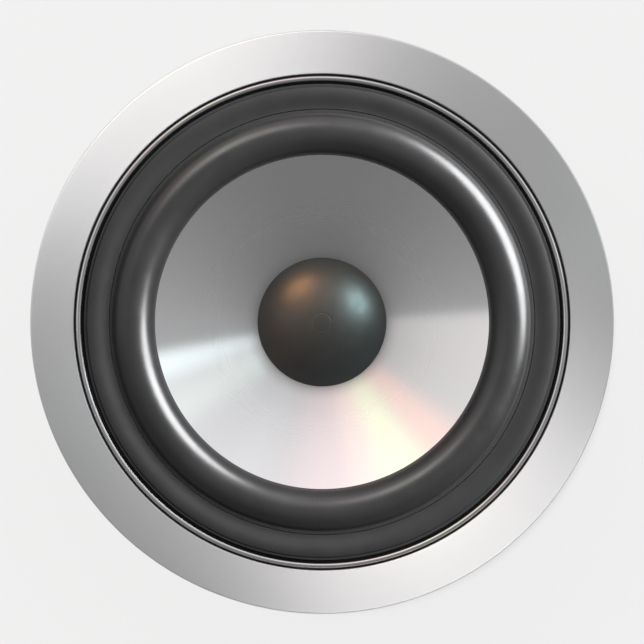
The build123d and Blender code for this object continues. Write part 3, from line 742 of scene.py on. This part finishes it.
def make_lead(side, colour):
    """Three strands twisted together, arching from the lug to the cone's collar."""
    sign = side_signs[side]
    lead_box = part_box(f"{side}_{colour}_tinsel_lead")
    y = (lead_box[0].y + lead_box[1].y) / 2
    outer_x = max(abs(lead_box[0].x), abs(lead_box[1].x))
    inner_x = min(abs(lead_box[0].x), abs(lead_box[1].x))
    end_z = (cone_foot + collar_low) / 2
    arch, arch_hurry = 3.6 * MM, 1.06
    steps = 96
    strands_each, strand_radius, twist_radius, twists = 3, 0.5 * MM, 0.48 * MM, 11
    middle = []
    for step in range(steps + 1):
        t = step / steps
        rise = math.sin(math.pi * min(1.0, t * arch_hurry)) ** 2
        middle.append(Vector((sign * (outer_x + (inner_x - outer_x) * t), y,
                              lead_start_z + (end_z - lead_start_z) * t ** 3 + arch * rise)))
    strands = []
    for strand in range(strands_each):
        path = []
        for step, point in enumerate(middle):
            angle = 2 * math.pi * (twists * step / steps + strand / strands_each)
            path.append(point + Vector((0, math.cos(angle), math.sin(angle))) * twist_radius)
        strands.append(tube(f"strand_{strand}", path, strand_radius))
    piece = join(f"{side}_{colour}_braided_lead", strands)
    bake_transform(piece)
    return piece


def make_spring(side, colour):
    """Coil spring under a button, a fixed coil of wire filling the CAD spring's box."""
    low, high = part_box(f"{side}_{colour}_button_spring")
    wire = 0.35 * MM
    turns, steps = 4, 96
    middle = (low + high) / 2
    radius = (high.x - low.x) / 2 - wire
    path = []
    for step in range(steps + 1):
        angle = 2 * math.pi * turns * step / steps
        path.append((middle.x + radius * math.cos(angle), middle.y + radius * math.sin(angle),
                     low.z + wire + (high.z - low.z - 2 * wire) * step / steps))
    piece = tube(f"{side}_{colour}_coil_spring", path, wire)
    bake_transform(piece)
    return piece


# ---- Finishes -----------------------------------------------------------------------------

finishes = {
    "trim": spun_metal("spun_trim_metal", (0.70, 0.70, 0.705), 0.42, 0.8,
                       smoother=(trim_inner, trim_outer, 0.05)),
    "bead": spun_metal("polished_bead_metal", (0.62, 0.62, 0.63), 0.2, 0.3),
    "cone": spun_metal("spun_cone_metal", (0.84, 0.84, 0.845), 0.32, 0.95,
                       smoother=(cap_radius, cone_radius, 0.11)),
    # The surround's colour darkens as painted shade in the valley where the roll's outer foot
    # meets the gasket.
    "surround": rubber("surround_rubber", (0.013, 0.013, 0.0134), 0.3, strength=0.12,
                       painted_crease_shade=(roll_middle + 8.9 * MM, roll_middle + 10.1 * MM)),
    "gasket": rubber("gasket_rubber", (0.0108, 0.0108, 0.0112), 0.5, strength=0.15,
                     specular=0.28),
    "boot": rubber("boot_rubber", (0.02, 0.02, 0.021), 0.5),
    "cap": moulded("dust_cap_coat", (0.022, 0.022, 0.0218), 0.42, specular=0.72, grain=2400.0,
                   strength=0.08),
    "frame": powder_coat("frame_powder_coat", (0.03, 0.03, 0.032), 0.45),
    "steel": plain_metal("black_zinc_steel", (0.16, 0.16, 0.17), 0.4),
    "bolt": plain_metal("black_oxide_steel", (0.13, 0.13, 0.135), 0.38, 900.0),
    "spring": plain_metal("spring_steel", (0.6, 0.6, 0.61), 0.3, 900.0),
    "ferrite": ferrite("ground_ferrite", (0.055, 0.055, 0.058)),
    "former": plain_metal("former_aluminium", (0.62, 0.61, 0.58), 0.35),
    "winding": wound_wire("copper_winding", (0.72, 0.31, 0.13), 0.5 * MM),
    "copper": plain_metal("turned_copper", (0.78, 0.38, 0.22), 0.3),
    "brass": plain_metal("tinned_brass", (0.80, 0.66, 0.40), 0.32, 700.0),
    "cloth": resin_cloth("spider_cloth", (0.60, 0.44, 0.17), 0.9 * MM),
    "landing": moulded("landing_ring_plastic", (0.03, 0.03, 0.03), 0.5),
    "terminal": moulded("terminal_plastic", (0.022, 0.022, 0.023), 0.42),
    "red": moulded("red_button_plastic", (0.50, 0.012, 0.012), 0.3),
    "black": moulded("black_button_plastic", (0.02, 0.02, 0.02), 0.3),
    "braid": plain_metal("tinsel_braid", (0.78, 0.47, 0.25), 0.38, 1500.0),
    "mesh": plain_metal("vent_mesh_steel", (0.08, 0.08, 0.08), 0.5),
}

node_finishes = {
    "basket": "frame", "trim_clips": "spring", "voice_coil_former": "former",
    "inner_winding": "winding", "outer_winding": "winding", "spider_landing_ring": "landing",
    "top_plate": "steel", "front_magnet": "ferrite", "rear_magnet": "ferrite",
    "back_plate": "steel", "pole_piece": "steel", "shorting_ring": "copper",
    "magnet_boot": "boot", "vent_mesh": "mesh", "motor_bolts": "bolt", "terminal_screws": "bolt",
}
for side in side_signs:
    node_finishes[f"{side}_terminal_housing"] = "terminal"
    node_finishes[f"{side}_terminal_contacts"] = "brass"
    for colour in ("red", "black"):
        node_finishes[f"{side}_{colour}_button"] = colour


def finish(piece, name):
    piece.data.materials.clear()
    piece.data.materials.append(finishes[name])


for node, name in node_finishes.items():
    finish(nodes[node], name)


# ---- Rebuilt pieces, the rigid ones on their bodies ---------------------------------------

rigid = (
    (make_trim_ring, "trim_ring", "trim", "trim", "brushed_trim"),
    (make_bead_ring, "bead_ring", "frame", "bead", "polished_bead"),
    (make_gasket, "front_gasket", "frame", "gasket", "gasket_rubber"),
    (make_cone, "cone", "diaphragm", "cone", "spun_cone"),
    (make_dust_cap, "dust_cap", "diaphragm", "cap", "dust_cap_satin"),
)
for build, node, body, name, slot in rigid:
    piece = build()
    finish(piece, name)
    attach(piece, body)
    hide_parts(node)

surround = make_surround()
finish(surround, "surround")
blend_round(surround, roll_middle + roll_radius, cone_radius)
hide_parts("surround")

spider = make_spider()
finish(spider, "cloth")
blend_round(spider, spider_radius - SPIDER_LIP, former_radius + 4.9 * MM)
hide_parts("spider")

for side in side_signs:
    for colour in ("red", "black"):
        lead = make_lead(side, colour)
        finish(lead, "braid")
        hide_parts(f"{side}_{colour}_tinsel_lead")
        spring = make_spring(side, colour)
        finish(spring, "spring")
        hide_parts(f"{side}_{colour}_button_spring")


# ---- Light --------------------------------------------------------------------------------

bpy.context.scene.view_settings.view_transform = "Standard"
floor = make_floor()
make_world()
make_camera()
made = {o.name: o for o in bpy.data.objects if o.type == "MESH" and o is not floor}
metal_front = {"brushed_trim_ring", "spun_cone", "dust_cap_dome", "polished_bead"}
front_rubber = [made["rubber_roll_surround"], made["rubber_gasket"]]
rear = [o for name, o in made.items() if name not in metal_front and o not in front_rubber]
dome, trim = [made["dust_cap_dome"]], [made["brushed_trim_ring"]]
area_lights = (    # name, azimuth, zenith, distance, size, radiance, colour, pieces lit
    ("key", 27, 62, 1.6, (1.8, 1.15), 25, (0.98, 0.99, 1.0), front_rubber),
    ("side", 118, 46, 1.6, (0.9, 0.7), 4.5, (1.0, 0.99, 0.98), front_rubber),
    ("rear_key", 60, 66, 1.6, (1.2, 0.9), 9, (1.0, 0.99, 0.98), rear),
    ("rear_fill", 195, 72, 1.6, (1.4, 0.9), 6, (0.97, 0.98, 1.0), rear),
    ("rear_rim", 290, 60, 1.6, (0.5, 0.9), 12, (1.0, 1.0, 1.0), rear),
    ("cap_cool", 30, 59, 1.6, (0.75, 0.5), 28, (0.68, 1.0, 0.99), dome),
    ("cap_warm", 122, 63, 1.6, (1.0, 0.5), 20.5, (1.0, 0.46, 0.16), dome),
    ("trim_far", 122, 32, 5.0, (4.2, 3.2), 1.9, (1.0, 1.0, 1.0), trim),
    ("trim_near", 302, 32, 5.0, (4.2, 3.2), 1.9, (1.0, 1.0, 1.0), trim),
)
for *settings, lit_pieces in area_lights:
    only_on(soft_light(*settings), lit_pieces)
overhead_sun(floor)
